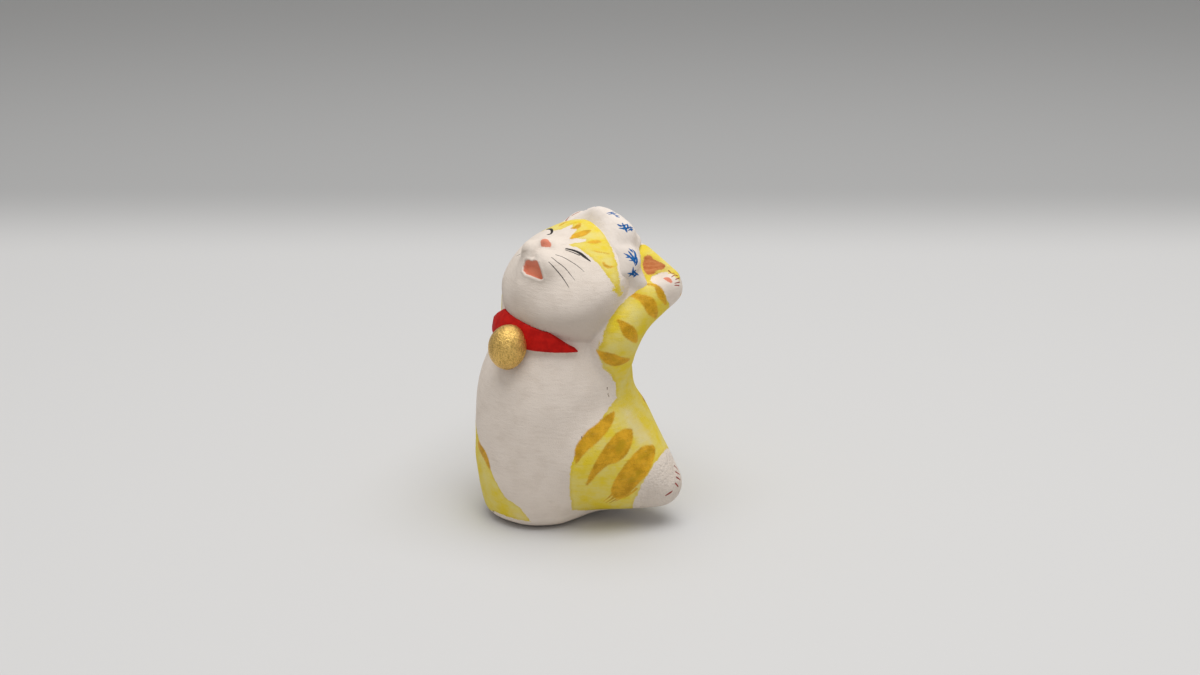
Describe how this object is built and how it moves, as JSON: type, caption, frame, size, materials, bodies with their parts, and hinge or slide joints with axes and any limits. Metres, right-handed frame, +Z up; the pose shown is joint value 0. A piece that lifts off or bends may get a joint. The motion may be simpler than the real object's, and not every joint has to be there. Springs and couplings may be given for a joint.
{
  "type": "lucky cat figurine",
  "caption": "Small painted clay figurine of a laughing cat leaning back with raised arms, a folded towel on its head, a collar with a ball bell and a leg kicked out, standing on a flat base.",
  "frame": {"origin": "centre of the round flat base, on the surface that it stands on", "axes": "+Z up, -Y is the way the cat's belly faces, +X is the cat's left, the side of the kicked leg"},
  "size_m": [0.0439, 0.0409, 0.0618],
  "materials": {
    "white_clay": "matte white ground coat over fired clay",
    "yellow_wash": "matte yellow wash with orange-brown stripes over the white ground",
    "towel_white": "matte white with blue brush marks",
    "collar_red": "satin red paint",
    "bell_gold": "brushed gold paint",
    "bare_clay": "bare fired clay"
  },
  "bodies": {
    "root": {"body_front_shell": "white_clay", "body_back_shell": "white_clay", "base_disc": "bare_clay", "head_front_shell": "white_clay", "head_back_shell": "white_clay", "left_arm": "yellow_wash", "right_arm": "yellow_wash", "left_leg": "yellow_wash", "tail": "yellow_wash", "left_ear": "yellow_wash", "right_ear": "yellow_wash", "towel": "towel_white", "collar": "collar_red", "bell": "bell_gold"}
  },
  "joints": []
}
